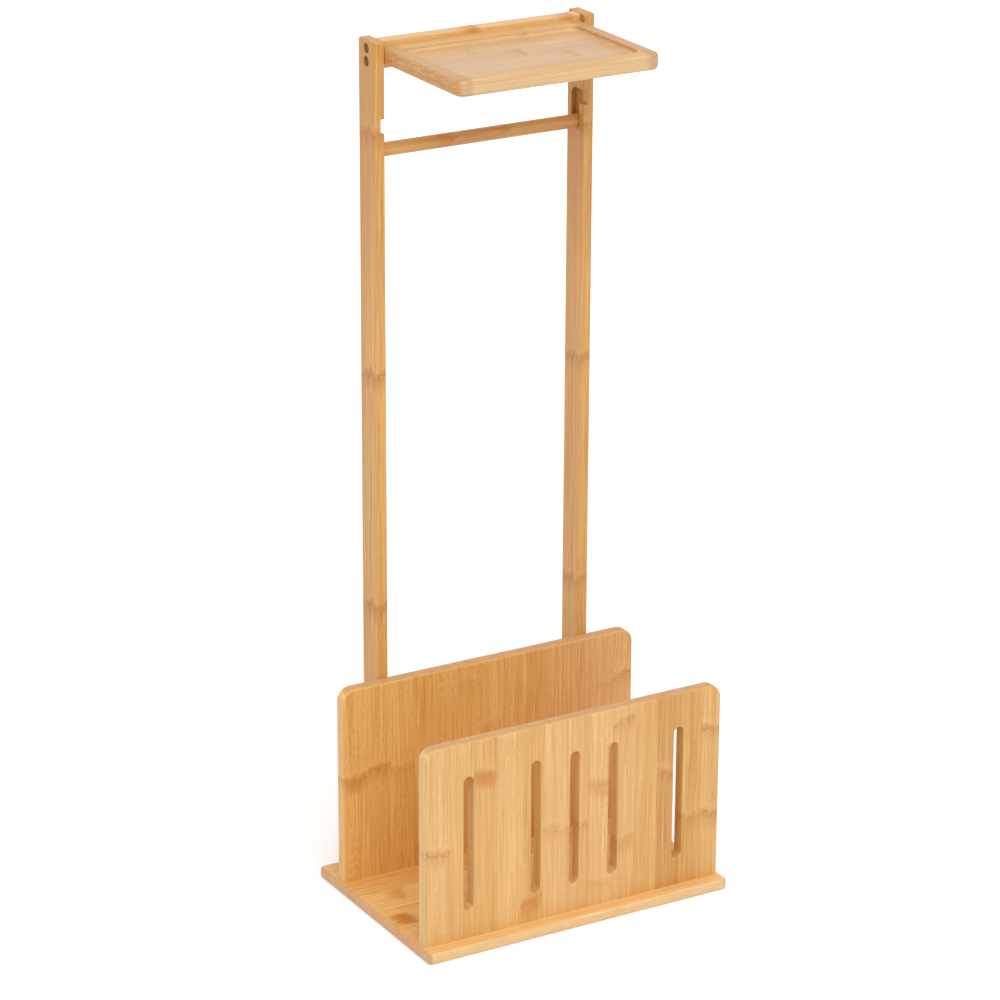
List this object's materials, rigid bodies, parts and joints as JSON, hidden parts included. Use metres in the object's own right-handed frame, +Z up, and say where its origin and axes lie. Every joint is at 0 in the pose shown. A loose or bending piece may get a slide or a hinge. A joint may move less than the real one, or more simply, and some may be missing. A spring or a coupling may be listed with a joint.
{
  "type": "toilet paper stand",
  "caption": "Free-standing bamboo toilet paper stand with a lift-out roll bar between posts, a top tray, and an open bin with a slotted front panel for spare rolls.",
  "frame": {"origin": "middle of the base board's underside, on the floor", "axes": "+Z up, -Y to the front (the slotted panel), +X to the right seen from the front"},
  "size_m": [0.3, 0.2, 0.757],
  "materials": {
    "bamboo_panel": "satin lacquer",
    "bamboo_base": "satin lacquer",
    "bamboo_post": "satin lacquer",
    "bamboo_tray": "satin lacquer",
    "bamboo_bar": "satin lacquer",
    "dowel_wood": "raw beech",
    "screw_steel": "dark zinc plate"
  },
  "bodies": {
    "frame": {"base_board": "bamboo_base", "front_panel": "bamboo_panel", "back_panel": "bamboo_panel", "left_post": "bamboo_post", "right_post": "bamboo_post", "top_rail": "bamboo_post", "tray": "bamboo_tray", "front_panel_screws": "screw_steel", "back_panel_screws": "screw_steel", "post_foot_screws": "screw_steel", "left_post_screws": "screw_steel", "right_post_screws": "screw_steel", "left_rail_screws": "screw_steel", "right_rail_screws": "screw_steel", "tray_screws": "screw_steel", "front_panel_dowels": "dowel_wood", "back_panel_dowels": "dowel_wood", "tray_dowels": "dowel_wood"},
    "roll_bar": {"roll_bar": "bamboo_bar"}
  },
  "joints": [
    {"name": "roll_bar_lift", "type": "slide", "parent": "frame", "child": "roll_bar", "axis": [0, 0, 1], "range_m": [0, 0.0232]}
  ]
}
